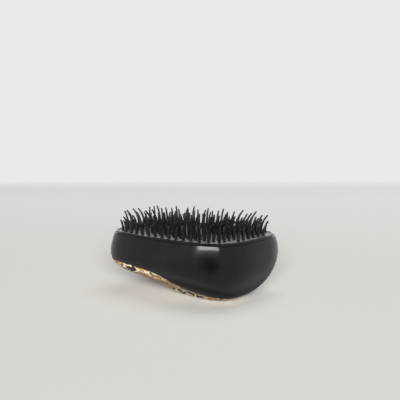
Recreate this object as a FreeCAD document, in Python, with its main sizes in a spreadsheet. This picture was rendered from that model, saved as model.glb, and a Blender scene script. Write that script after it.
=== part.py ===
"""Palm-held detangling brush, lying on its back with the bristles up.

The frame has +X along the brush towards its thick end, +Z up along the bristles, and its origin on the
surface that the brush lies on. All sizes are in millimetres and angles in degrees.
"""

import FreeCAD, Part

import math
import os
from dataclasses import dataclass
from enum import IntEnum, auto

import Sketcher

os.makedirs("parts", exist_ok=True)

# Driving dimensions, one sheet cell each.
DIMENSIONS = {
    # rim that stands round the bristle plate
    "rim_level": 34.2,
    "rim_thin_reach": 42.5,
    "rim_thick_reach": 42.5,
    "rim_half_width": 28.6,
    "lip_height": 1.2,
    "lip_thickness": 1.3,
    "ledge_width": 0.9,
    # widest girth of the barrel
    "bulge_level": 28.1,
    "bulge_overhang": 2.3,
    # shoulder, where the wall turns in towards the back
    "shoulder_level": 16.5,
    "shoulder_tilt": 1.1,
    "shoulder_thin_reach": 44.8,
    "shoulder_thick_reach": 43.2,
    "shoulder_half_width": 29.4,
    # flank, half way down the sloping back
    "flank_level": 9.5,
    "flank_tilt": 3.8,
    "flank_thin_reach": 37.7,
    "flank_thick_reach": 38.5,
    "flank_half_width": 21.8,
    # belly, just above the foot
    "belly_level": 4.3,
    "belly_tilt": 5.7,
    "belly_thin_reach": 21.7,
    "belly_thick_reach": 29.7,
    "belly_half_width": 12.3,
    # flat foot that the brush lies on
    "foot_centre": 10.4,
    "foot_half_length": 11.9,
    "foot_half_width": 6.0,
    # plan shape shared by all outlines
    "end_crown": 1.6,
    "wall_thickness": 2.2,
    # joint between the two shells
    "parting_thin_level": 18.5,
    "parting_thick_level": 2.8,
    "parting_crest_reach": 40.0,
    "parting_dip_reach": 25.0,
    "seam_gap": 0.1,
    "tongue_height": 2.0,
    "tongue_clearance": 0.1,
    # bristle plate and its seat
    "plate_thickness": 2.0,
    "plate_recess": 0.2,
    "plate_clearance": 0.15,
    "shelf_width": 1.5,
    "shelf_thickness": 1.5,
    # snap hook under each end of the plate
    "hook_thickness": 1.2,
    "hook_width": 12.0,
    "hook_barb": 0.6,
    "hook_clearance": 0.25,
    # bristles
    "edge_margin": 1.8,
    "end_row_setback": 0.8,
    "bristle_pitch": 4.3,
    "long_height": 10.7,
    "short_height": 7.6,
    "root_radius": 0.75,
    "tip_radius": 0.4,
    "root_gap": 0.3,
    "long_splay": 3.2,
    "cut_overrun": 5.0,
}
ROW_COUNT = 17
BRISTLE_SIDES = 6

# Shares of the sizes that they follow.
TAPER_SHARE = 0.1
CROWN_OUT_SHARE = 1 / 3
CROWN_BACK_SHARE = 2 / 3
HALF_SHARE = 0.5


class Mark(IntEnum):
    """Number by which a sketch knows a point of a line, an arc or a circle."""

    START = auto()
    END = auto()
    CENTRE = auto()


# Number of the sketch axis that runs along. The sketch origin is the start of that axis.
ALONG_INDEX = -1
ORIGIN = (ALONG_INDEX, Mark.START)

doc = FreeCAD.newDocument("Brush")
sheet = doc.addObject("Spreadsheet::Sheet", "dims")
for row, (alias, number) in enumerate(DIMENSIONS.items(), start=1):
    sheet.set(f"A{row}", alias)
    sheet.set(f"B{row}", str(number))
    sheet.setAlias(f"B{row}", alias)
doc.recompute()


def value(expression):
    """Number that a sheet expression stands for."""
    return float(sheet.evalExpression(expression))


def origin_plane(body, role):
    """Origin plane of a body, by its role."""
    return next(plane for plane in body.Origin.OriginFeatures if plane.Role == role)


# Poles of an outline, counter-clockwise.
POLES = (
    "thick_end",
    "upper_thick",
    "upper_middle",
    "upper_thin",
    "thin_end",
    "lower_thin",
    "lower_middle",
    "lower_thick",
)


@dataclass(frozen=True)
class Section:
    """Closed outline across the brush, in sheet expressions.

    The inset and raise shares say how far the outline of an inner skin moves in and up for each
    millimetre of depth below the outer skin.
    """

    level: str
    thin_reach: str
    thick_reach: str
    half_width: str
    tilt: str = "0"
    inset_share: float = 1.0
    raise_share: float = 0.0

    def at_depth(self, depth):
        """The same outline on a skin that lies deeper in the wall."""
        step = f"({depth}) * {self.inset_share}"
        return Section(
            level=f"{self.level} + ({depth}) * {self.raise_share}",
            thin_reach=f"{self.thin_reach} - {step}",
            thick_reach=f"{self.thick_reach} - {step}",
            half_width=f"{self.half_width} - {step}",
            tilt=self.tilt,
        )

    def pole_expressions(self):
        """Distances of the five poles on one side: forward, back or sideways from the origin."""
        out = f"dims.end_crown * {CROWN_OUT_SHARE}"
        back = f"dims.end_crown * {CROWN_BACK_SHARE}"
        return {
            "thick_end": f"{self.thick_reach} + {out}",
            "thick_corner": f"{self.thick_reach} - {back}",
            "thin_corner": f"{self.thin_reach} - {back}",
            "thin_end": f"{self.thin_reach} + {out}",
            "thick_width": f"({self.half_width}) * {1 + TAPER_SHARE}",
            "middle_width": self.half_width,
            "thin_width": f"({self.half_width}) * {1 - TAPER_SHARE}",
            "middle": f"(({self.thick_reach}) - ({self.thin_reach})) * {HALF_SHARE}",
        }

    def poles(self):
        """Control points of the outline, counter-clockwise from the thick end as in POLES."""
        size = {name: value(expression) for name, expression in self.pole_expressions().items()}
        upper = [
            (size["thick_corner"], size["thick_width"]),
            (size["middle"], size["middle_width"]),
            (-size["thin_corner"], size["thin_width"]),
        ]
        lower = [(along, -across) for along, across in reversed(upper)]
        ring = [(size["thick_end"], 0), *upper, (-size["thin_end"], 0), *lower]
        return [FreeCAD.Vector(along, across, 0) for along, across in ring]

    def curve(self):
        """The outline as a closed cubic spline at height zero."""
        spline = Part.BSplineCurve()
        spline.buildFromPoles(self.poles(), True, 3)
        return spline


RIM = Section(
    level="dims.rim_level",
    thin_reach="dims.rim_thin_reach",
    thick_reach="dims.rim_thick_reach",
    half_width="dims.rim_half_width",
)
LEDGE = Section(
    level="dims.rim_level - dims.lip_height",
    thin_reach="dims.rim_thin_reach + dims.ledge_width",
    thick_reach="dims.rim_thick_reach + dims.ledge_width",
    half_width="dims.rim_half_width + dims.ledge_width",
)
BULGE = Section(
    level="dims.bulge_level",
    thin_reach="dims.rim_thin_reach + dims.bulge_overhang",
    thick_reach="dims.rim_thick_reach + dims.bulge_overhang",
    half_width="dims.rim_half_width + dims.bulge_overhang",
)
SHOULDER = Section(
    level="dims.shoulder_level",
    thin_reach="dims.shoulder_thin_reach",
    thick_reach="dims.shoulder_thick_reach",
    half_width="dims.shoulder_half_width",
    tilt="dims.shoulder_tilt",
    inset_share=0.85,
    raise_share=0.5,
)
FLANK = Section(
    level="dims.flank_level",
    thin_reach="dims.flank_thin_reach",
    thick_reach="dims.flank_thick_reach",
    half_width="dims.flank_half_width",
    tilt="dims.flank_tilt",
    inset_share=0.55,
    raise_share=0.85,
)
BELLY = Section(
    level="dims.belly_level",
    thin_reach="dims.belly_thin_reach",
    thick_reach="dims.belly_thick_reach",
    half_width="dims.belly_half_width",
    tilt="dims.belly_tilt",
    inset_share=0.3,
    raise_share=1.0,
)
FOOT = Section(
    level="0",
    thin_reach="dims.foot_half_length - dims.foot_centre",
    thick_reach="dims.foot_half_length + dims.foot_centre",
    half_width="dims.foot_half_width",
    inset_share=0.1,
    raise_share=1.0,
)
SKIN = (LEDGE, BULGE, SHOULDER, FLANK, BELLY, FOOT)


def outline_sketch(body, name, section):
    """Sketch of a section outline, lying at the section's level and tilt."""
    sketch = body.newObject("Sketcher::SketchObject", name)
    sketch.AttachmentSupport = [(origin_plane(body, "XY_Plane"), "")]
    sketch.MapMode = "FlatFace"
    tilt = FreeCAD.Rotation(FreeCAD.Vector(0, 1, 0), value(section.tilt))
    sketch.AttachmentOffset = FreeCAD.Placement(FreeCAD.Vector(0, 0, value(section.level)), tilt)
    sketch.setExpression("AttachmentOffset.Base.z", section.level)
    sketch.setExpression("AttachmentOffset.Rotation.Angle", section.tilt)
    add_outline(sketch, section, "outline")
    return sketch


def add_outline(sketch, section, prefix):
    """Adds a section's closed spline to a sketch and ties its poles to the sheet."""
    spline = sketch.addGeometry(section.curve(), False)
    first = sketch.GeometryCount
    sketch.exposeInternalGeometry(spline)
    size = section.pole_expressions()

    def tie(name, kind, start, end):
        expression = size[name]
        index = sketch.addConstraint(Sketcher.Constraint(kind, *start, *end, value(expression)))
        label = f"{prefix}_{kind.lower()}_{name}"
        sketch.renameConstraint(index, label)
        sketch.setExpression(f"Constraints.{label}", expression)

    def pole(name):
        return (first + POLES.index(name), Mark.CENTRE)

    tie("thick_end", "DistanceX", ORIGIN, pole("thick_end"))
    tie("thick_corner", "DistanceX", ORIGIN, pole("upper_thick"))
    tie("middle", "DistanceX", ORIGIN, pole("upper_middle"))
    tie("thin_corner", "DistanceX", pole("upper_thin"), ORIGIN)
    tie("thin_end", "DistanceX", pole("thin_end"), ORIGIN)
    tie("thick_width", "DistanceY", ORIGIN, pole("upper_thick"))
    tie("middle_width", "DistanceY", ORIGIN, pole("upper_middle"))
    tie("thin_width", "DistanceY", ORIGIN, pole("upper_thin"))
    for end in ("thick_end", "thin_end"):
        sketch.addConstraint(Sketcher.Constraint("PointOnObject", *pole(end), ALONG_INDEX))
    for place in ("thick", "middle", "thin"):
        pair = (*pole(f"upper_{place}"), *pole(f"lower_{place}"))
        sketch.addConstraint(Sketcher.Constraint("Symmetric", *pair, ALONG_INDEX))


def add_skin(body, kind, name, depth, ruled=False):
    """Lofts the barrel's skin at a depth below its outer face, as an added or a removed solid.

    A ruled skin runs straight from section to section. It serves inside, where nobody sees the edges.
    """
    sketches = [
        outline_sketch(body, f"{name}_{index}", section.at_depth(depth))
        for index, section in enumerate(SKIN)
    ]
    loft = body.newObject(kind, name)
    loft.Profile = sketches[0]
    loft.Sections = sketches[1:]
    loft.Ruled = ruled
    return loft


def skin_body(name, depth, ruled=False):
    """Solid bounded by the barrel's skin at a depth below its outer face."""
    body = doc.addObject("PartDesign::Body", name)
    add_skin(body, "PartDesign::AdditiveLoft", f"{name}_loft", depth, ruled)
    return body


def add_ring(body, name, level, outer, inner, height):
    """Pads the ring between two outlines from a level upwards."""
    sketch = outline_sketch(body, f"{name}_outline", outer)
    sketch.setExpression("AttachmentOffset.Base.z", level)
    add_outline(sketch, inner, "opening")
    pad = body.newObject("PartDesign::Pad", name)
    pad.Profile = sketch
    pad.setExpression("Length", height)
    return pad


def parting_block(name, rise):
    """Everything under the parting surface, which swings down from the thin end to the thick end."""
    body = doc.addObject("PartDesign::Body", name)
    sketch = body.newObject("Sketcher::SketchObject", f"{name}_profile")
    sketch.AttachmentSupport = [(origin_plane(body, "XZ_Plane"), "")]
    sketch.MapMode = "FlatFace"
    places = {
        "thin_back": f"max({BULGE.thin_reach}; {SHOULDER.thin_reach}) + dims.cut_overrun",
        "crest_front": "dims.parting_crest_reach",
        "dip_back": "dims.parting_dip_reach",
        "thick_front": f"max({BULGE.thick_reach}; {SHOULDER.thick_reach}) + dims.cut_overrun",
        "thin_up": f"dims.parting_thin_level + {rise}",
        "thick_up": f"dims.parting_thick_level + {rise}",
        "floor_down": "dims.cut_overrun",
    }
    size = {place: value(expression) for place, expression in places.items()}
    thin_top = FreeCAD.Vector(-size["thin_back"], size["thin_up"], 0)
    crest = FreeCAD.Vector(size["crest_front"], size["thin_up"], 0)
    dip = FreeCAD.Vector(-size["dip_back"], size["thick_up"], 0)
    thick_top = FreeCAD.Vector(size["thick_front"], size["thick_up"], 0)
    thick_low = FreeCAD.Vector(size["thick_front"], -size["floor_down"], 0)
    thin_low = FreeCAD.Vector(-size["thin_back"], -size["floor_down"], 0)
    swing = Part.BSplineCurve()
    swing.buildFromPoles([thin_top, crest, dip, thick_top], False, 3)
    spline = sketch.addGeometry(swing, False)
    first = sketch.GeometryCount
    sketch.exposeInternalGeometry(spline)
    poles = [(first + place, Mark.CENTRE) for place in range(swing.NbPoles)]
    thin_pole, crest_pole, dip_pole, thick_pole = poles
    front = sketch.addGeometry(Part.LineSegment(thick_top, thick_low), False)
    floor = sketch.addGeometry(Part.LineSegment(thick_low, thin_low), False)
    back = sketch.addGeometry(Part.LineSegment(thin_low, thin_top), False)
    joins = [
        ((spline, Mark.END), (front, Mark.START)),
        ((front, Mark.END), (floor, Mark.START)),
        ((floor, Mark.END), (back, Mark.START)),
        ((back, Mark.END), (spline, Mark.START)),
    ]
    for left, right in joins:
        sketch.addConstraint(Sketcher.Constraint("Coincident", *left, *right))
    sketch.addConstraint(Sketcher.Constraint("Vertical", front))
    sketch.addConstraint(Sketcher.Constraint("Vertical", back))
    sketch.addConstraint(Sketcher.Constraint("Horizontal", floor))
    ties = [
        ("thin_back", "DistanceX", thin_pole, ORIGIN),
        ("crest_front", "DistanceX", ORIGIN, crest_pole),
        ("dip_back", "DistanceX", dip_pole, ORIGIN),
        ("thick_front", "DistanceX", ORIGIN, thick_pole),
        ("thin_up", "DistanceY", ORIGIN, thin_pole),
        ("thin_up", "DistanceY", ORIGIN, crest_pole),
        ("thick_up", "DistanceY", ORIGIN, dip_pole),
        ("thick_up", "DistanceY", ORIGIN, thick_pole),
        ("floor_down", "DistanceY", (floor, Mark.START), ORIGIN),
    ]
    for number, (place, kind, start, end) in enumerate(ties):
        index = sketch.addConstraint(Sketcher.Constraint(kind, *start, *end, size[place]))
        sketch.renameConstraint(index, f"{place}_{number}")
        sketch.setExpression(f"Constraints.{place}_{number}", places[place])
    pad = body.newObject("PartDesign::Pad", f"{name}_pad")
    pad.Profile = sketch
    pad.Midplane = True
    half_width = f"max({BULGE.half_width}; {SHOULDER.half_width}) * {1 + TAPER_SHARE} + dims.cut_overrun"
    pad.setExpression("Length", f"({half_width}) / {HALF_SHARE}")
    return body


def boolean(kind, name, base, tool):
    """Part boolean of two objects."""
    result = doc.addObject(kind, name)
    if kind == "Part::Cut":
        result.Base = base
        result.Tool = tool
    else:
        result.Shapes = [base, tool]
    return result


def make_shells():
    """Barrel band and palm shell, moulded to one skin and joined by a shiplap along the parting surface."""
    hull = skin_body("hull", "0")
    cavity = skin_body("cavity", "dims.wall_thickness", ruled=True)
    half_wall = f"dims.wall_thickness * {HALF_SHARE}"
    tongue_core = skin_body("tongue_core", f"{half_wall} + dims.tongue_clearance")
    rebate_core = skin_body("rebate_core", half_wall)
    below_parting = parting_block("below_parting", "0")
    below_seam = parting_block("below_seam", "dims.seam_gap")
    below_tongue = parting_block("below_tongue", "dims.tongue_height")
    below_rebate = parting_block("below_rebate", "dims.tongue_height + dims.tongue_clearance")

    lower_hull = boolean("Part::MultiCommon", "lower_hull", hull, below_parting)
    tongue = boolean("Part::MultiCommon", "tongue", tongue_core, below_tongue)
    palm = boolean("Part::MultiFuse", "palm", lower_hull, tongue)
    back_shell = boolean("Part::Cut", "back_shell", palm, cavity)

    barrel = doc.addObject("PartDesign::Body", "barrel")
    add_skin(barrel, "PartDesign::AdditiveLoft", "barrel_skin", "0")
    add_skin(barrel, "PartDesign::SubtractiveLoft", "barrel_cavity", "dims.wall_thickness", ruled=True)
    lip_opening = RIM.at_depth("dims.lip_thickness")
    add_ring(barrel, "lip", LEDGE.level, RIM, lip_opening, "dims.lip_height")
    shelf_opening = RIM.at_depth("dims.lip_thickness + dims.shelf_width")
    shelf_level = f"{PLATE_SEAT} - dims.shelf_thickness"
    add_ring(barrel, "shelf", shelf_level, RIM, shelf_opening, "dims.shelf_thickness")

    upper_barrel = boolean("Part::Cut", "upper_barrel", barrel, below_seam)
    rebate = boolean("Part::MultiCommon", "rebate", rebate_core, below_rebate)
    body_shell = boolean("Part::Cut", "body_shell", upper_barrel, rebate)
    return [back_shell, body_shell]


PLATE_SEAT = "dims.rim_level - dims.plate_recess - dims.plate_thickness"
PLATE_TOP = "dims.rim_level - dims.plate_recess"
PLATE = RIM.at_depth("dims.lip_thickness + dims.plate_clearance")


def add_polygon(sketch, prefix, corners):
    """Adds a closed polygon, each corner tied to the sheet by two signed distances from the origin."""
    sizes = [[value(expression) for expression in corner] for corner in corners]
    points = [FreeCAD.Vector(*pair, 0) for pair in sizes]
    sides = [Part.LineSegment(start, end) for start, end in zip(points, [*points[1:], points[0]])]
    lines = sketch.addGeometry(sides, False)
    for place, line in enumerate(lines):
        corner = (line, Mark.START)
        sketch.addConstraint(Sketcher.Constraint("Coincident", lines[place - 1], Mark.END, *corner))
        for kind, expression, size in zip(("DistanceX", "DistanceY"), corners[place], sizes[place]):
            # a distance is kept positive by measuring it from the lower end
            ends = (*ORIGIN, *corner) if size >= 0 else (*corner, *ORIGIN)
            label = f"{prefix}_{kind.lower()}_{place}"
            index = sketch.addConstraint(Sketcher.Constraint(kind, *ends, abs(size)))
            sketch.renameConstraint(index, label)
            sketch.setExpression(f"Constraints.{label}", f"abs({expression})")


def hook_corners(reach, side):
    """Corners of a snap hook that grips the shelf at one end of the plate, from root to barb and back."""
    edge = f"({reach} - dims.lip_thickness - dims.shelf_width)"
    outer = f"{side} * ({edge} - dims.hook_clearance)"
    inner = f"{side} * ({edge} - dims.hook_clearance - dims.hook_thickness)"
    barb = f"{side} * ({edge} + dims.hook_barb)"
    catch = f"{PLATE_SEAT} - dims.shelf_thickness - dims.hook_clearance"
    end = f"{catch} - dims.hook_clearance - dims.hook_barb"
    root = [(inner, PLATE_SEAT), (outer, PLATE_SEAT)]
    nose = [(outer, catch), (barb, catch), (outer, end), (inner, end)]
    return root + nose


def make_plate():
    """Bristle plate, lying on the shelf inside the rim and held there by a snap hook at each end."""
    body = doc.addObject("PartDesign::Body", "bristle_plate")
    sketch = outline_sketch(body, "plate_outline", PLATE)
    sketch.setExpression("AttachmentOffset.Base.z", PLATE_SEAT)
    pad = body.newObject("PartDesign::Pad", "plate_slab")
    pad.Profile = sketch
    pad.setExpression("Length", "dims.plate_thickness")
    profile = body.newObject("Sketcher::SketchObject", "hook_profile")
    profile.AttachmentSupport = [(origin_plane(body, "XZ_Plane"), "")]
    profile.MapMode = "FlatFace"
    add_polygon(profile, "thin", hook_corners("dims.rim_thin_reach", -1))
    add_polygon(profile, "thick", hook_corners("dims.rim_thick_reach", 1))
    hooks = body.newObject("PartDesign::Pad", "plate_hooks")
    hooks.Profile = profile
    hooks.Midplane = True
    hooks.setExpression("Length", "dims.hook_width")
    return body


def bristle(root, height, lean_along, lean_across):
    """Six-sided tapered bristle whose tip stands aside from its root."""
    tip = root + FreeCAD.Vector(lean_along, lean_across, height)
    rings = []
    for centre, radius in ((root, value("dims.root_radius")), (tip, value("dims.tip_radius"))):
        turns = [2 * math.pi * side / BRISTLE_SIDES for side in range(BRISTLE_SIDES)]
        arm = [FreeCAD.Vector(math.cos(turn), math.sin(turn), 0) * radius for turn in turns]
        rings.append([centre + step for step in arm])
    low, high = rings
    faces = [Part.Face(Part.makePolygon([*ring, ring[0]])) for ring in rings]
    for side in range(BRISTLE_SIDES):
        after = (side + 1) % BRISTLE_SIDES
        corners = [low[side], low[after], high[after], high[side], low[side]]
        faces.append(Part.Face(Part.makePolygon(corners)))
    solid = Part.Solid(Part.Shell(faces))
    if solid.Volume < 0:
        solid.reverse()
    return solid


def field_half_width(outline, along):
    """Half width of the bristle field at a place along the brush."""
    reach = value("dims.rim_half_width + dims.cut_overrun")
    across = Part.LineSegment(FreeCAD.Vector(along, 0, 0), FreeCAD.Vector(along, reach, 0))
    return max(point.Y for point in outline.intersectCC(across))


def make_rows():
    """Rows of bristles across the plate, long and short by turns, with short ones along the edge."""
    field = PLATE.at_depth("dims.edge_margin")
    outline = field.curve()
    thin_end = -value(f"{field.thin_reach} - dims.end_row_setback")
    thick_end = value(f"{field.thick_reach} - dims.end_row_setback")
    root_level = value(f"{PLATE_TOP} + dims.root_gap")
    pitch = value("dims.bristle_pitch")
    widest = value(field.half_width)
    rows = []
    for number in range(ROW_COUNT):
        along = thin_end + (thick_end - thin_end) * number / (ROW_COUNT - 1)
        half_width = field_half_width(outline, along)
        long_row = number % 2 == 1
        # rows with a bristle on the middle line alternate with rows without one
        pairs = round(half_width / pitch) if long_row else round(half_width / pitch - HALF_SHARE)
        count = 2 * pairs + (1 if long_row else 2)
        solids = []
        for place in range(count):
            across = half_width * (2 * place / (count - 1) - 1)
            at_edge = place in (0, count - 1)
            tall = long_row and not at_edge
            height = value("dims.long_height") if tall else value("dims.short_height")
            splay = value("dims.long_splay") * height / value("dims.long_height")
            lean_along = splay * along / thick_end
            lean_across = splay * across / widest
            root = FreeCAD.Vector(along, across, root_level)
            solids.append(bristle(root, height, lean_along, lean_across))
        feature = doc.addObject("Part::Feature", f"bristle_row_{number + 1:02d}")
        feature.Shape = Part.makeCompound(solids)
        rows.append(feature)
    return rows


def check(nodes):
    """Stops the run if any object failed or any sub-part has no valid shape."""
    for item in doc.Objects:
        if "Invalid" in item.State or "Error" in item.State:
            raise RuntimeError(f"{item.Name} failed: {item.State}")
    for node in nodes:
        if node.Shape.isNull() or not node.Shape.isValid():
            raise RuntimeError(f"{node.Label} has no valid shape")


def main():
    """Builds every sub-part and writes one file for each."""
    nodes = [*make_shells(), make_plate(), *make_rows()]
    doc.recompute()
    check(nodes)
    for node in nodes:
        node.Shape.exportStep(f"parts/{node.Label}.step")
        box = node.Shape.BoundBox
        print(f"{node.Label}: {len(node.Shape.Solids)} solids, {node.Shape.Volume:.1f} mm3, {box}")


main()
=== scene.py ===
"""Looks of a palm-held detangling brush that lies on its printed back with the bristles up.

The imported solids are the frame. This script gives them moulded finishes, draws the bristles as the curved,
tapered spikes that they are, and sets a plain studio round them. Lengths are in metres and angles in degrees,
unless a name or a docstring says otherwise.
"""

import logging
import math
import random
from collections.abc import Iterable, Mapping
from dataclasses import dataclass
from enum import Enum
from typing import Any

import bmesh
import bpy
from mathutils import Matrix, Quaternion, Vector


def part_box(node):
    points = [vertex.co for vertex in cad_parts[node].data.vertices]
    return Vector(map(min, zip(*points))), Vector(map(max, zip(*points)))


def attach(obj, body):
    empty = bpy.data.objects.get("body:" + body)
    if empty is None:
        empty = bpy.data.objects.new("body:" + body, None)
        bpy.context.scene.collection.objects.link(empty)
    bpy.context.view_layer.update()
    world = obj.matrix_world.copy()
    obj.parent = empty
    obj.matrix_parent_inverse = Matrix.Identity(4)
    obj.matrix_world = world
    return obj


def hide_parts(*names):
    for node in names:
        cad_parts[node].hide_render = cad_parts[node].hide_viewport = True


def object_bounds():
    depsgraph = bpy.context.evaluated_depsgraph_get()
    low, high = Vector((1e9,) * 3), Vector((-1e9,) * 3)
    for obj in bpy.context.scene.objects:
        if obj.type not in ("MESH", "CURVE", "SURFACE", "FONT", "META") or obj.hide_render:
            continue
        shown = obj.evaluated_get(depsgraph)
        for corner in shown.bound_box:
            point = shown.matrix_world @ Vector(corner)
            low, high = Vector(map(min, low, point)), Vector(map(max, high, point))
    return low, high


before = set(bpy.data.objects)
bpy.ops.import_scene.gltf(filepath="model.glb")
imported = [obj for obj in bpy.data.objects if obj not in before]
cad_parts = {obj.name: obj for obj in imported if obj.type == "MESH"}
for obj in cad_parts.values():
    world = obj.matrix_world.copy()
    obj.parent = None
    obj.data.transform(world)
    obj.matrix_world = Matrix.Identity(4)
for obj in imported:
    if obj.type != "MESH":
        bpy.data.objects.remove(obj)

Colour = tuple[float, float, float, float]
Span = tuple[float, float]
Edges = list[bmesh.types.BMEdge]

CAD_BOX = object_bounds()
MM = 0.001
WELD = 1e-6
QUAD = 4
HOUSING = "housing"
ROW_PREFIX = "bristle_row_"
ALONG = Vector((1, 0, 0))
ACROSS = Vector((0, 1, 0))
UP = Vector((0, 0, 1))
VIEW_AZIMUTH = 37.0
FAR_WALL: Colour = (0.81, 0.82, 0.835, 1.0)
BLACK: Colour = (0.0, 0.0, 0.0, 1.0)
NOISE_MIDDLE = 0.5
# Sockets of the Mix node that serve when it blends colours.
MIX_SHARE, MIX_LOW, MIX_HIGH, MIX_RESULT = 0, 6, 7, 2

log = logging.getLogger("brush")


def bearing(azimuth: float, elevation: float) -> Vector:
    """Unit vector away from the brush; azimuth 0 is its near side and 90 its thick end."""
    turn, lift = math.radians(azimuth), math.radians(elevation)
    return Vector((math.sin(turn) * math.cos(lift), -math.cos(turn) * math.cos(lift), math.sin(lift)))


class Slot(Enum):
    """Material slots of the record. The pieces here are given their finishes directly, not through these."""

    BARREL = "barrel"
    PRINT = "back_print"
    PLATE = "plate"
    BRISTLE = "bristle"


@dataclass(frozen=True)
class Signal:
    """Value that a finish works with. Arithmetic on it adds Math nodes."""

    sheet: "NodeSheet"
    socket: bpy.types.NodeSocket | None

    def __add__(self, other: "Signal | float") -> "Signal":
        """Sum of two values."""
        return self.sheet.math("ADD", self, other)

    def __radd__(self, other: float) -> "Signal":
        """Sum with a number on the left."""
        return self.sheet.math("ADD", other, self)

    def __sub__(self, other: "Signal | float") -> "Signal":
        """Difference of two values."""
        return self.sheet.math("SUBTRACT", self, other)

    def __rsub__(self, other: float) -> "Signal":
        """Difference from a number on the left."""
        return self.sheet.math("SUBTRACT", other, self)

    def __mul__(self, other: "Signal | float") -> "Signal":
        """Product of two values."""
        return self.sheet.math("MULTIPLY", self, other)


class NodeSheet:
    """Node tree of a finish or of the sky, written as expressions."""

    def __init__(self, owner: bpy.types.Material | bpy.types.World) -> None:
        """Starts an empty node tree.

        Args:
            owner: The material or world that the tree belongs to.
        """
        owner.use_nodes = True
        self.tree = owner.node_tree
        self.tree.nodes.clear()

    def node(
        self,
        kind: str,
        settings: Mapping[str, Any],
        sockets: Mapping[str | int, Any],
        output: str | int = 0,
    ) -> Signal:
        """Adds any node.

        Args:
            kind: The node's type.
            settings: What is set on the node itself, before its sockets.
            sockets: A number, colour or signal for each input that isn't left as it is.
            output: The output that is wanted.

        Returns:
            That output, or an empty signal for a node that has none.
        """
        node = self.tree.nodes.new(kind)
        for name, setting in settings.items():
            setattr(node, name, setting)
        for name, value in sockets.items():
            if isinstance(value, Signal):
                self.tree.links.new(value.socket, node.inputs[name])
            else:
                node.inputs[name].default_value = value
        return Signal(self, node.outputs[output] if len(node.outputs) else None)

    def math(self, operation: str, left: Signal | float, right: Signal | float) -> Signal:
        """Adds a Math node for two values."""
        return self.node("ShaderNodeMath", {"operation": operation}, {0: left, 1: right})

    def mix(self, share: Signal, low: Signal | Colour, high: Signal | Colour) -> Signal:
        """Blend of two colours, low where the share is 0 and high where it is 1."""
        sockets = {MIX_SHARE: share, MIX_LOW: low, MIX_HIGH: high}
        return self.node("ShaderNodeMix", {"data_type": "RGBA"}, sockets, MIX_RESULT)

    def ease(self, value: Signal, span: Span) -> Signal:
        """Smooth step of a value: 0 up to the span's start, 1 from its end on."""
        limits = {"Value": value, "From Min": span[0], "From Max": span[1]}
        return self.node("ShaderNodeMapRange", {"interpolation_type": "SMOOTHSTEP"}, limits)

    def vector(self, operation: str, left: Signal, right: Signal | Iterable[float]) -> Signal:
        """Adds a Vector Math node for two vectors that gives a third one."""
        return self.node("ShaderNodeVectorMath", {"operation": operation}, {0: left, 1: right})

    def reach(self, place: Signal, way: Vector) -> Signal:
        """How far a place lies along a direction."""
        return self.node("ShaderNodeVectorMath", {"operation": "DOT_PRODUCT"}, {0: place, 1: way}, "Value")

    def place(self, output: str = "Object") -> Signal:
        """Place on the piece in metres of the shared frame, or another output of that node."""
        return self.node("ShaderNodeTexCoord", {}, {}, output)

    def noise(self, place: Signal, size: float, detail: float, output: str = "Fac") -> Signal:
        """Cloudy noise.

        Args:
            place: Where it is read.
            size: Size of one cloud.
            detail: How many finer layers lie on it.
            output: Fac for a value or Color for three of them.

        Returns:
            The noise, from 0 to 1.
        """
        sockets = {"Vector": place, "Scale": 1 / size, "Detail": detail}
        return self.node("ShaderNodeTexNoise", {}, sockets, output)

    def bump(self, height: Signal, strength: float, depth: float) -> Signal:
        """Normal of a surface that is raised by a height from 0 to 1 times a depth."""
        sockets = {"Height": height, "Strength": strength, "Distance": depth}
        return self.node("ShaderNodeBump", {}, sockets)


class FinishSheet(NodeSheet):
    """Node tree of one material."""

    def __init__(self, name: str) -> None:
        """Starts a new material.

        Args:
            name: The material's name.
        """
        self.material = bpy.data.materials.new(name)
        super().__init__(self.material)

    def close(self, **sockets: Any) -> bpy.types.Material:
        """Ends the tree with a shader.

        Args:
            sockets: Values or signals for the shader's sockets, with an underscore for each space.

        Returns:
            The finished material.
        """
        named = {name.replace("_", " "): value for name, value in sockets.items()}
        shader = self.node("ShaderNodeBsdfPrincipled", {}, named)
        self.node("ShaderNodeOutputMaterial", {}, {"Surface": shader})
        return self.material


@dataclass(frozen=True)
class MouldedPlastic:
    """Moulded plastic: a fine eroded grain, faint flow clouds and streaks that handling has rubbed."""

    name: str
    tone: Colour
    rubbed_tone: Colour
    roughness: float
    rubbed_roughness: float
    grain_size: float
    grain_depth: float
    cloud_size: float
    specular: float
    grain_detail: float = 2.0
    grain_strength: float = 0.35
    cloud_detail: float = 5.0
    cloud_share: float = 0.65
    streak_detail: float = 4.0
    streak_width_share: float = 0.12
    rubbed_span: Span = (0.42, 0.66)
    speckle_span: Span = (0.35, 0.75)
    speckle_share: float = 0.2
    speckle_roughness: float = 0.04

    def dress(self) -> bpy.types.Material:
        """Makes the material.

        Returns:
            The material, with its grain as a fine bump.
        """
        sheet = FinishSheet(self.name)
        place = sheet.place()
        grain = sheet.noise(place, self.grain_size, self.grain_detail)
        clouds = sheet.noise(place, self.cloud_size, self.cloud_detail)
        stretch = {"Vector": place, "Scale": (1.0, 1.0, self.streak_width_share)}
        drawn = sheet.node("ShaderNodeMapping", {}, stretch)
        streaks = sheet.noise(drawn, self.cloud_size * self.streak_width_share, self.streak_detail)
        handled = clouds * self.cloud_share + streaks * (1 - self.cloud_share)
        rubbed = sheet.ease(handled, self.rubbed_span)
        speckle = sheet.ease(grain, self.speckle_span)
        mottle = rubbed * (1 - self.speckle_share) + speckle * self.speckle_share
        polish = rubbed * (self.rubbed_roughness - self.roughness)
        pits = (speckle - NOISE_MIDDLE) * self.speckle_roughness
        return sheet.close(
            Base_Color=sheet.mix(mottle, self.tone, self.rubbed_tone),
            Roughness=self.roughness + polish + pits,
            Normal=sheet.bump(grain, self.grain_strength, self.grain_depth),
            Specular_IOR_Level=self.specular,
        )


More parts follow.
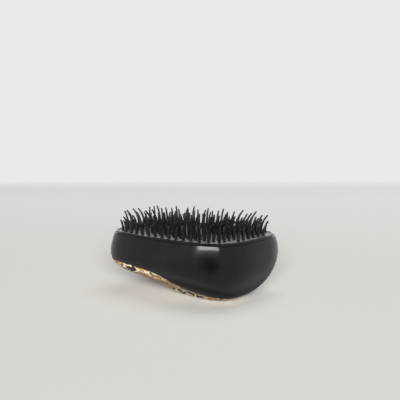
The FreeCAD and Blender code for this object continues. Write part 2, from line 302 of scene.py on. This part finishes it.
@dataclass(frozen=True)
class SpottedPrint:
    """Glossy film print of a common animal spot pattern, broken dark rings round tan middles."""

    name: str
    ground: Colour
    ground_shade: Colour
    ring: Colour
    middle: Colour
    middle_shade: Colour
    axis_level: float
    girth_radius: float
    spot_size: float
    roughness: float
    sway_size_share: float = 0.9
    sway_share: float = 0.75
    sway_detail: float = 2.0
    scatter_share: float = 0.85
    rag_size_share: float = 0.3
    rag_depth: float = 0.22
    break_size_share: float = 0.5
    break_span: Span = (0.34, 0.40)
    edge_detail: float = 1.0
    spot_span: Span = (0.07, 0.10)
    middle_span: Span = (0.19, 0.23)
    filled_span: Span = (0.30, 0.32)
    fleck_size_share: float = 0.12
    fleck_span: Span = (0.3, 0.7)
    fleck_detail: float = 2.0
    wave_size: float = 4.0 * MM
    wave_depth: float = 0.03 * MM
    wave_strength: float = 0.2
    wave_detail: float = 2.0
    wear_size: float = 6.0 * MM
    wear_roughness: float = 0.12
    wear_detail: float = 4.0
    coat: float = 0.08
    coat_roughness: float = 0.12
    specular: float = 0.35

    def unwrapped(self, sheet: FinishSheet, place: Signal) -> Signal:
        """Lays the film flat.

        Args:
            sheet: The material's node tree.
            place: A place on the back.

        Returns:
            That place as a length along the brush and a length round its girth.
        """
        drop = self.axis_level - sheet.reach(place, UP)
        turn = sheet.math("ARCTAN2", sheet.reach(place, ACROSS), drop)
        flat = {"X": sheet.reach(place, ALONG), "Y": turn * self.girth_radius}
        return sheet.node("ShaderNodeCombineXYZ", {}, flat)

    def swayed(self, sheet: FinishSheet, film: Signal) -> Signal:
        """Pulls the film's places about, so that the spots lose their straight sides.

        Args:
            sheet: The material's node tree.
            film: A place on the flat film.

        Returns:
            The place that is shown there.
        """
        sway = sheet.noise(film, self.spot_size * self.sway_size_share, self.sway_detail, "Color")
        centred = sheet.vector("SUBTRACT", sway, (NOISE_MIDDLE,) * 3)
        drift = sheet.vector("MULTIPLY", centred, (self.spot_size * self.sway_share,) * 3)
        return sheet.vector("ADD", film, drift)

    def printed(self, sheet: FinishSheet, film: Signal) -> Signal:
        """Draws the spots.

        Args:
            sheet: The material's node tree.
            film: A place on the flat film.

        Returns:
            The print's colour there.
        """
        places = self.swayed(sheet, film)
        cells = {"Vector": places, "Scale": 1 / self.spot_size, "Randomness": self.scatter_share}
        edges = {"feature": "DISTANCE_TO_EDGE", "voronoi_dimensions": "2D"}
        depth = sheet.node("ShaderNodeTexVoronoi", edges, cells, "Distance")
        lots = sheet.node("ShaderNodeTexVoronoi", {"voronoi_dimensions": "2D"}, cells, "Color")
        rags = sheet.noise(film, self.spot_size * self.rag_size_share, self.edge_detail)
        ragged = depth + (rags - NOISE_MIDDLE) * self.rag_depth
        breaks = sheet.noise(film, self.spot_size * self.break_size_share, self.edge_detail)
        spot = sheet.ease(ragged, self.spot_span) * sheet.ease(breaks, self.break_span)
        filled = sheet.ease(sheet.reach(lots, ALONG), self.filled_span)
        heart = sheet.ease(ragged, self.middle_span) * filled
        flecks = sheet.noise(film, self.spot_size * self.fleck_size_share, self.fleck_detail)
        fleck = sheet.ease(flecks, self.fleck_span)
        ground = sheet.mix(fleck, self.ground, self.ground_shade)
        middle = sheet.mix(fleck, self.middle, self.middle_shade)
        return sheet.mix(spot, ground, sheet.mix(heart, self.ring, middle))

    def dress(self) -> bpy.types.Material:
        """Makes the material.

        Returns:
            The material, with a thin clear coat over the print.
        """
        sheet = FinishSheet(self.name)
        place = sheet.place()
        colour = self.printed(sheet, self.unwrapped(sheet, place))
        waves = sheet.noise(place, self.wave_size, self.wave_detail)
        wear = sheet.noise(place, self.wear_size, self.wear_detail)
        return sheet.close(
            Base_Color=colour,
            Roughness=self.roughness + wear * self.wear_roughness,
            Normal=sheet.bump(waves, self.wave_strength, self.wave_depth),
            Coat_Weight=self.coat,
            Coat_Roughness=self.coat_roughness,
            Specular_IOR_Level=self.specular,
        )


@dataclass(frozen=True)
class TableTop:
    """Pale matt table, painted paler away from the camera as painted light, that passes at a soft, straight
    edge into a backdrop as bright as the sky.
    """

    name: str
    azimuth: float
    table: Colour
    # Paler far tone of the table: painted light standing in for lamp light that falls off with distance.
    far_table_painted_light: Colour
    wall: Colour
    edge_start: float
    edge_end: float
    fleck_size: float = 2.0 * MM
    fleck_detail: float = 3.0
    fleck_share: float = 0.05

    def dress(self) -> bpy.types.Material:
        """Makes the material.

        Returns:
            The material, which reflects near the brush and glows behind the table's edge.
        """
        sheet = FinishSheet(self.name)
        place = sheet.place()
        away = sheet.reach(place, -bearing(self.azimuth, 0))
        far = sheet.ease(away, (self.edge_start, self.edge_end))
        flecks = sheet.noise(place, self.fleck_size, self.fleck_detail)
        # Painted light: the table's colour grows paler towards its edge, in place of lamp light that falls off
        # there.
        ground = sheet.mix(sheet.ease(away, (0.0, self.edge_start)), self.table, self.far_table_painted_light)
        near = sheet.mix(flecks * self.fleck_share, ground, self.wall)
        return sheet.close(
            Base_Color=sheet.mix(far, near, BLACK),
            Emission_Color=sheet.mix(far, BLACK, self.wall),
            Emission_Strength=1.0,
            Roughness=1.0,
            Specular_IOR_Level=0.0,
        )


def show(form: bmesh.types.BMesh, name: str, finish: bpy.types.Material) -> bpy.types.Object:
    """Turns a finished form into a piece at the origin.

    Args:
        form: The form, which is freed.
        name: The piece's name.
        finish: Its material.

    Returns:
        The piece.
    """
    mesh = bpy.data.meshes.new(name)
    form.to_mesh(mesh)
    form.free()
    mesh.materials.append(finish)
    piece = bpy.data.objects.new(name, mesh)
    bpy.context.scene.collection.objects.link(piece)
    return piece


def joined_copy(node: str) -> bmesh.types.BMesh:
    """Copies a CAD node's mesh.

    Args:
        node: The CAD node.

    Returns:
        The copy, with its loose triangles joined.
    """
    form = bmesh.new()
    form.from_mesh(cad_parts[node].data)
    bmesh.ops.remove_doubles(form, verts=form.verts[:], dist=WELD)
    return form


def ring_frame(middle: Vector, turned: Quaternion, radius: float) -> Matrix:
    """Place, turn and radius of a ring as one matrix."""
    return Matrix.LocRotScale(middle, turned, Vector((radius, radius, radius)))


def draw_rings(form: bmesh.types.BMesh, frames: list[Matrix], sides: int) -> tuple[Edges, Edges]:
    """Draws a tube from ring to ring.

    Args:
        form: The form that the tube is added to.
        frames: Place, turn and radius of each ring.
        sides: How many edges a ring has.

    Returns:
        The edges of the first ring and of the last one, which are both left open.
    """
    base = bmesh.ops.create_circle(form, segments=sides, radius=1.0, matrix=frames[0])
    first = list(dict.fromkeys(edge for vert in base["verts"] for edge in vert.link_edges))
    loop = first
    for frame_before, ring in zip(frames, frames[1:]):
        pulled = bmesh.ops.extrude_edge_only(form, edges=loop)["geom"]
        verts = [part for part in pulled if isinstance(part, bmesh.types.BMVert)]
        bmesh.ops.transform(form, matrix=ring @ frame_before.inverted(), verts=verts)
        loop = [
            part
            for part in pulled
            if isinstance(part, bmesh.types.BMEdge) and all(vert in verts for vert in part.verts)
        ]
    return first, loop


@dataclass(frozen=True)
class Housing:
    """Two moulded shells and the bristle plate that is set into their rim."""

    barrel: bpy.types.Material
    back_print: bpy.types.Material
    plate: bpy.types.Material
    crease: float = 28.0
    lip_round: float = 0.18 * MM
    plate_round: float = 0.1 * MM
    round_segments: int = 3
    round_profile: float = 0.5
    level_gap: float = 0.01 * MM
    level_turn: float = 1.0

    def round_top(self, form: bmesh.types.BMesh, width: float) -> None:
        """Rounds the edges of a form's level top, as the mould leaves them.

        Args:
            form: The form, with its triangles joined.
            width: How far the rounding reaches from an edge.
        """
        top = max(vert.co.z for vert in form.verts)

        def level(part: bmesh.types.BMEdge | bmesh.types.BMFace) -> bool:
            """Whether a part lies in the top."""
            return all(top - vert.co.z < self.level_gap for vert in part.verts)

        def top_edges(inner: bool) -> Edges:
            """Edges between two faces of the top, or else those on its outline."""
            edges = [edge for edge in form.edges if level(edge)]
            return [edge for edge in edges if all(level(face) for face in edge.link_faces) == inner]

        turn = math.radians(self.level_turn)
        bmesh.ops.dissolve_limit(form, angle_limit=turn, verts=[], edges=top_edges(inner=True))
        bmesh.ops.bevel(
            form,
            geom=top_edges(inner=False),
            offset=width,
            offset_type="OFFSET",
            affect="EDGES",
            segments=self.round_segments,
            profile=self.round_profile,
            material=-1,
            clamp_overlap=True,
        )

    def moulded(
        self, node: str, finish: bpy.types.Material, top_round: float = 0.0
    ) -> bpy.types.Object:
        """Makes a smooth-shaded stand-in for a CAD node that keeps its creases.

        Args:
            node: The CAD node.
            finish: The material that it gets.
            top_round: How far the edges of its top are rounded.

        Returns:
            The piece that replaces the node.
        """
        form = joined_copy(node)
        if top_round:
            self.round_top(form, top_round)
        crease = math.radians(self.crease)
        for face in form.faces:
            face.smooth = True
        for edge in form.edges:
            edge.smooth = len(edge.link_faces) == 2 and edge.calc_face_angle() < crease
        piece = show(form, f"{node}_skin", finish)
        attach(piece, HOUSING)
        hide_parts(node)
        return piece

    def build(self) -> list[bpy.types.Object]:
        """Builds the shells and the plate."""
        return [
            self.moulded("body_shell", self.barrel, self.lip_round),
            self.moulded("back_shell", self.back_print),
            self.moulded("bristle_plate", self.plate, self.plate_round),
        ]


@dataclass(frozen=True)
class BristlePlace:
    """Where one bristle stands, and how thick it is at both ends."""

    root: Vector
    tip: Vector
    root_radius: float
    tip_radius: float


@dataclass(frozen=True)
class BristleField:
    """Rows of curved, tapered bristles, each row on its own body, and the collars that they stand in.

    The taper is a list of shares of a bristle's height, each with the share of the way from the root's radius
    to the tip's. Short bristles stay a little lower and lean less than tall ones, by the two powers.
    """

    finish: bpy.types.Material
    sides: int = 6
    foot_share: float = 0.07
    taper_shares: tuple[tuple[float, float], ...] = ((0.25, 0.15), (0.5, 0.4), (0.75, 0.65))
    blunt_share: float = 0.96
    end_share: float = 0.8
    rise_power: float = 0.4
    lean_share: float = 1.1
    lean_power: float = 1.5
    bend_power: float = 2.8
    bend_spread: Span = (0.75, 1.35)
    straight_share: float = 0.2
    slope_step: float = 0.01
    shortest_share: float = 0.94
    scatter: float = 1.7 * MM
    seed: int = 160
    collar_sides: int = 8
    collar_play: float = 0.12 * MM
    collar_wall: float = 0.2 * MM
    collar_foot: float = 0.12 * MM
    collar_share: float = 0.6

    def rows(self) -> list[str]:
        """Names of the CAD rows, in order."""
        return sorted(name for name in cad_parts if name.startswith(ROW_PREFIX))

    def places(self, node: str) -> list[BristlePlace]:
        """Finds the bristles of a CAD row.

        Args:
            node: The row's node.

        Returns:
            Each bristle's place, in order across the brush.
        """
        form = joined_copy(node)
        done: set[bmesh.types.BMVert] = set()
        found = []
        for start in form.verts:
            if start not in done:
                island = self.island(start)
                done.update(island)
                found.append(self.measure([vert.co for vert in island]))
        form.free()
        return sorted(found, key=lambda place: place.root.y)

    @staticmethod
    def island(start: bmesh.types.BMVert) -> list[bmesh.types.BMVert]:
        """Finds all vertices that edges join to one.

        Args:
            start: The vertex to start from.

        Returns:
            The vertices, in the order in which they are reached.
        """
        island = [start]
        done = {start}
        for vert in island:
            for edge in vert.link_edges:
                near = edge.other_vert(vert)
                if near not in done:
                    done.add(near)
                    island.append(near)
        return island

    @staticmethod
    def measure(points: list[Vector]) -> BristlePlace:
        """Measures one bristle of the CAD.

        Args:
            points: The points of its two end rings.

        Returns:
            Its place and radii.
        """
        middle = (min(point.z for point in points) + max(point.z for point in points)) / 2
        low = [point for point in points if point.z < middle]
        high = [point for point in points if point.z >= middle]
        root = sum(low, Vector()) / len(low)
        tip = sum(high, Vector()) / len(high)
        root_radius = max((point - root).length for point in low)
        tip_radius = max((point - tip).length for point in high)
        return BristlePlace(root, tip, root_radius, tip_radius)

    def add_bristle(self, form: bmesh.types.BMesh, place: BristlePlace, chance: random.Random) -> None:
        """Draws one bristle up its curve, ring by ring.

        Args:
            form: The row's form.
            place: Where the bristle stands.
            chance: The row's own source of small differences.
        """
        height = place.tip.z - place.root.z
        tallness = height / (CAD_BOX[1][2] - place.root.z)
        room = (height - place.tip_radius * self.end_share) * tallness**self.rise_power
        rise = room * chance.uniform(self.shortest_share, 1.0)
        lean = (place.tip - place.root) * self.lean_share * tallness**self.lean_power
        lean.z = 0
        lean += Vector((chance.uniform(-1, 1), chance.uniform(-1, 1), 0)) * self.scatter
        power = self.bend_power * chance.uniform(*self.bend_spread)

        def along(share: float) -> Vector:
            """Point of the bristle's middle line at a share of its height."""
            bow = self.straight_share * share + (1 - self.straight_share) * share**power
            return place.root + lean * bow + UP * rise * share

        def turn(share: float) -> Quaternion:
            """Turn that lays a ring square to the middle line."""
            slope = along(share + self.slope_step) - along(share - self.slope_step)
            return UP.rotation_difference(slope)

        body = place.root_radius
        end = place.tip_radius
        rings = [
            (0.0, body),
            (self.foot_share, body),
            *((share, body + (end - body) * taper) for share, taper in self.taper_shares),
            (self.blunt_share, end),
            (1.0, end * self.end_share),
        ]
        frames = [
            ring_frame(along(share), turn(share) if share else Quaternion(), radius) for share, radius in rings
        ]
        for ring in draw_rings(form, frames, self.sides):
            bmesh.ops.contextual_create(form, geom=ring)

    def build_row(self, node: str) -> bpy.types.Object:
        """Builds the bristles of one row, parented to that row's own body.

        Args:
            node: The row's node.

        Returns:
            The piece that replaces the row.
        """
        number = int(node.removeprefix(ROW_PREFIX))
        chance = random.Random(self.seed + number)
        form = bmesh.new()
        for place in self.places(node):
            self.add_bristle(form, place, chance)
        bmesh.ops.recalc_face_normals(form, faces=form.faces[:])
        for face in form.faces:
            face.smooth = len(face.verts) == QUAD
        piece = show(form, f"bristles_{number:02d}", self.finish)
        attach(piece, f"row_{number:02d}")
        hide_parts(node)
        return piece

    def add_collar(self, form: bmesh.types.BMesh, place: BristlePlace, floor: float) -> None:
        """Draws the collar round one root.

        Args:
            form: The form of all collars.
            place: Where the bristle stands.
            floor: Level of the plate's top.
        """
        inner = place.root_radius + self.collar_play
        outer = inner + self.collar_wall
        top = (place.root.z - floor) * self.collar_share
        rings = ((outer + self.collar_foot, 0.0), (outer, top), (inner, top), (inner, 0.0))
        frames = [
            ring_frame(Vector((place.root.x, place.root.y, floor + height)), Quaternion(), radius)
            for radius, height in rings
        ]
        first, last = draw_rings(form, frames, self.collar_sides)
        bmesh.ops.bridge_loops(form, edges=[*first, *last])

    def build_collars(self) -> bpy.types.Object:
        """Builds the low collars on the plate, one round each root, wide enough for the bristle to lean.

        Returns:
            All collars as one piece.
        """
        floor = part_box("bristle_plate")[1][2]
        form = bmesh.new()
        for node in self.rows():
            for place in self.places(node):
                self.add_collar(form, place, floor)
        bmesh.ops.recalc_face_normals(form, faces=form.faces[:])
        piece = show(form, "root_collars", self.finish)
        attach(piece, HOUSING)
        return piece

    def build(self) -> list[bpy.types.Object]:
        """Builds all rows and the collars."""
        return [*(self.build_row(node) for node in self.rows()), self.build_collars()]


class LampUse(Enum):
    """What a lamp is for: light on matt surfaces, a reflection in glossy ones, or both."""

    FILL = (True, False)
    REFLECTION = (False, True)
    BOTH = (True, True)


@dataclass(frozen=True)
class SoftLamp:
    """Rectangular studio lamp that looks at the brush. Its power is in watts."""

    name: str
    use: LampUse
    azimuth: float
    elevation: float
    distance: float
    width: float
    height: float
    power: float
    roll: float = 0.0

    def build(self, target: Vector) -> bpy.types.Object:
        """Hangs the lamp.

        Args:
            target: The point that it looks at, on whose bearing it hangs.

        Returns:
            The lamp.
        """
        light = bpy.data.lights.new(self.name, "AREA")
        light.shape = "RECTANGLE"
        light.size = self.width
        light.size_y = self.height
        light.energy = self.power
        lamp = bpy.data.objects.new(self.name, light)
        out = bearing(self.azimuth, self.elevation)
        turned = out.to_track_quat("Z", "Y") @ Quaternion(UP, math.radians(self.roll))
        lamp.matrix_world = Matrix.LocRotScale(target + out * self.distance, turned, None)
        lamp.visible_diffuse, lamp.visible_glossy = self.use.value
        bpy.context.scene.collection.objects.link(lamp)
        return lamp


@dataclass(frozen=True)
class Studio:
    """Table, room, lamps and camera.

    The spans are cosines of the angle to the direction that each part of the room lies in. The camera's focal
    length, frame and aim are in pixels.
    """

    table: bpy.types.Material
    lamps: tuple[SoftLamp, ...]
    azimuth: float = VIEW_AZIMUTH
    elevation: float = 8.73
    distance: float = 0.4
    clip_start: float = 0.01
    focal_pixels: float = 729.0
    frame_pixels: float = 400.0
    aim_right: float = 8.5
    aim_up: float = 31.5
    table_radius: float = 6.0
    table_sides: int = 96
    near_sky: Colour = (0.66, 0.66, 0.67, 1.0)
    far_sky: Colour = FAR_WALL
    sky_span: Span = (0.2, 1.0)
    near_floor: Colour = (0.55, 0.545, 0.53, 1.0)
    far_floor: Colour = (0.55, 0.54, 0.52, 1.0)
    floor_span: Span = (0.2, 0.8)
    wall_foot_span: Span = (-0.35, -0.12)
    shade: Colour = (0.11, 0.107, 0.10, 1.0)
    shade_drop: float = 41.0
    shade_span: Span = (0.7, 0.98)
    stand: Colour = (0.12, 0.12, 0.125, 1.0)
    stand_azimuth: float = 16.0
    stand_elevation: float = -14.0
    stand_span: Span = (0.8, 1.0)

    def target(self) -> Vector:
        """Finds the point that the camera and the lamps are set out from.

        Returns:
            The middle of the rim.
        """
        low, high = (Vector(corner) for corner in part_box("bristle_plate"))
        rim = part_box("body_shell")[1][2]
        return Vector(((low.x + high.x) / 2, (low.y + high.y) / 2, rim))

    def build_table(self) -> bpy.types.Object:
        """Builds the table top, a wide disc at the level of the brush's foot.

        Returns:
            The table top, which glossy surfaces don't reflect.
        """
        form = bmesh.new()
        bmesh.ops.create_circle(form, cap_ends=True, segments=self.table_sides, radius=self.table_radius)
        table = show(form, "table", self.table)
        table.visible_glossy = False
        return table

    def build_sky(self) -> None:
        """Sets a pale backdrop, and the room that gloss reflects: walls, floor, shade and a dark stand."""
        world = bpy.data.worlds.new("studio")
        sheet = NodeSheet(world)
        sight = sheet.place("Generated")
        side = sheet.reach(sight, -bearing(self.azimuth, 0))
        walls = sheet.mix(sheet.ease(side, self.sky_span), self.near_sky, self.far_sky)
        floor = sheet.mix(sheet.ease(side, self.floor_span), self.near_floor, self.far_floor)
        lit = sheet.mix(sheet.ease(sheet.reach(sight, UP), self.wall_foot_span), floor, walls)
        under = sheet.reach(sight, -bearing(self.azimuth, self.shade_drop))
        shaded = sheet.mix(sheet.ease(under, self.shade_span), lit, self.shade)
        front = sheet.reach(sight, bearing(self.stand_azimuth, self.stand_elevation))
        room = sheet.mix(sheet.ease(front, self.stand_span), shaded, self.stand)
        seen = sheet.node("ShaderNodeLightPath", {}, {}, "Is Camera Ray")
        colour = sheet.mix(seen, room, self.far_sky)
        sky = sheet.node("ShaderNodeBackground", {}, {"Color": colour})
        sheet.node("ShaderNodeOutputWorld", {}, {"Surface": sky})
        world.cycles_visibility.diffuse = False
        bpy.context.scene.world = world

    def build_camera(self) -> bpy.types.Object:
        """Sets the camera on the photograph's bearing.

        Returns:
            The camera, which the scene then uses.
        """
        out = bearing(self.azimuth, self.elevation)
        right = (-out).cross(UP).normalized()
        upward = right.cross(-out)
        shift = (right * self.aim_right + upward * self.aim_up) / self.focal_pixels
        data = bpy.data.cameras.new("camera")
        data.sensor_fit = "HORIZONTAL"
        data.lens = data.sensor_width * self.focal_pixels / self.frame_pixels
        data.clip_start = self.clip_start
        camera = bpy.data.objects.new("camera", data)
        turned = (shift - out).to_track_quat("-Z", "Y").to_matrix().to_4x4()
        camera.matrix_world = Matrix.Translation(self.target() + out * self.distance) @ turned
        bpy.context.scene.collection.objects.link(camera)
        bpy.context.scene.camera = camera
        return camera

    def build(self) -> list[bpy.types.Object]:
        """Builds the room, the lamps, the table and the camera.

        Returns:
            The table, the lamps and the camera.
        """
        self.build_sky()
        bpy.context.scene.view_settings.view_transform = "Standard"
        lamps = [lamp.build(self.target()) for lamp in self.lamps]
        return [self.build_table(), *lamps, self.build_camera()]


BARREL = MouldedPlastic(
    name="barrel_satin_black",
    tone=(0.0022, 0.0022, 0.0023, 1.0),
    rubbed_tone=(0.0042, 0.0042, 0.0044, 1.0),
    roughness=0.14,
    rubbed_roughness=0.20,
    grain_size=0.25 * MM,
    grain_depth=0.012 * MM,
    cloud_size=14.0 * MM,
    specular=0.28,
)
PLATE = MouldedPlastic(
    name="plate_dark_grey",
    tone=(0.11, 0.11, 0.111, 1.0),
    rubbed_tone=(0.15, 0.15, 0.152, 1.0),
    roughness=0.3,
    rubbed_roughness=0.4,
    grain_size=0.4 * MM,
    grain_depth=0.008 * MM,
    cloud_size=9.0 * MM,
    specular=0.8,
)
BRISTLE = MouldedPlastic(
    name="bristle_satin_black",
    tone=(0.003, 0.003, 0.0032, 1.0),
    rubbed_tone=(0.006, 0.006, 0.0062, 1.0),
    roughness=0.38,
    rubbed_roughness=0.48,
    grain_size=0.3 * MM,
    grain_depth=0.008 * MM,
    cloud_size=5.0 * MM,
    specular=0.3,
)
BACK_PRINT = SpottedPrint(
    name="back_spot_print",
    ground=(0.70, 0.62, 0.42, 1.0),
    ground_shade=(0.57, 0.48, 0.30, 1.0),
    ring=(0.018, 0.012, 0.008, 1.0),
    middle=(0.46, 0.25, 0.06, 1.0),
    middle_shade=(0.37, 0.185, 0.045, 1.0),
    axis_level=30.0 * MM,
    girth_radius=28.0 * MM,
    spot_size=7.0 * MM,
    roughness=0.2,
)
TABLE = TableTop(
    name="pale_table",
    azimuth=VIEW_AZIMUTH,
    table=(0.60, 0.585, 0.555, 1.0),
    # Painted light: a paler tone for the far table, where the lamps' light falls off.
    far_table_painted_light=(0.70, 0.69, 0.69, 1.0),
    wall=FAR_WALL,
    edge_start=0.58,
    edge_end=0.78,
)
LAMPS = (
    SoftLamp(
        name="overhead_softbox",
        use=LampUse.BOTH,
        azimuth=150,
        elevation=75,
        distance=1.0,
        width=0.8,
        height=0.8,
        power=2.0,
    ),
    SoftLamp(
        name="ceiling_fill",
        use=LampUse.FILL,
        azimuth=150,
        elevation=80,
        distance=3.0,
        width=3.0,
        height=3.0,
        power=22.0,
    ),
    SoftLamp(
        name="front_fill",
        use=LampUse.FILL,
        azimuth=VIEW_AZIMUTH,
        elevation=16,
        distance=12.0,
        width=6.0,
        height=3.0,
        power=4300.0,
    ),
    SoftLamp(
        name="front_window",
        use=LampUse.REFLECTION,
        azimuth=8,
        elevation=35.7,
        distance=1.0,
        width=1.0,
        height=0.2,
        power=10.5,
        roll=12,
    ),
    SoftLamp(
        name="window_glow",
        use=LampUse.REFLECTION,
        azimuth=7,
        elevation=27,
        distance=1.0,
        width=1.1,
        height=0.14,
        power=1.0,
        roll=12,
    ),
    SoftLamp(
        name="window_fade",
        use=LampUse.REFLECTION,
        azimuth=6,
        elevation=18,
        distance=1.0,
        width=1.2,
        height=0.18,
        power=0.38,
        roll=12,
    ),
)


def report(pieces: Iterable[bpy.types.Object]) -> None:
    """Logs each piece.

    Args:
        pieces: The pieces, lamps and cameras that were built.
    """
    for piece in pieces:
        faces = len(piece.data.polygons) if piece.type == "MESH" else 0
        log.info("%s: %d faces", piece.name, faces)


def main() -> None:
    """Builds the studio and dresses the brush."""
    logging.basicConfig(level=logging.INFO, format="%(message)s")
    report(Studio(TABLE.dress(), LAMPS).build())
    report(Housing(BARREL.dress(), BACK_PRINT.dress(), PLATE.dress()).build())
    report(BristleField(BRISTLE.dress()).build())


if __name__ == "__main__":
    main()
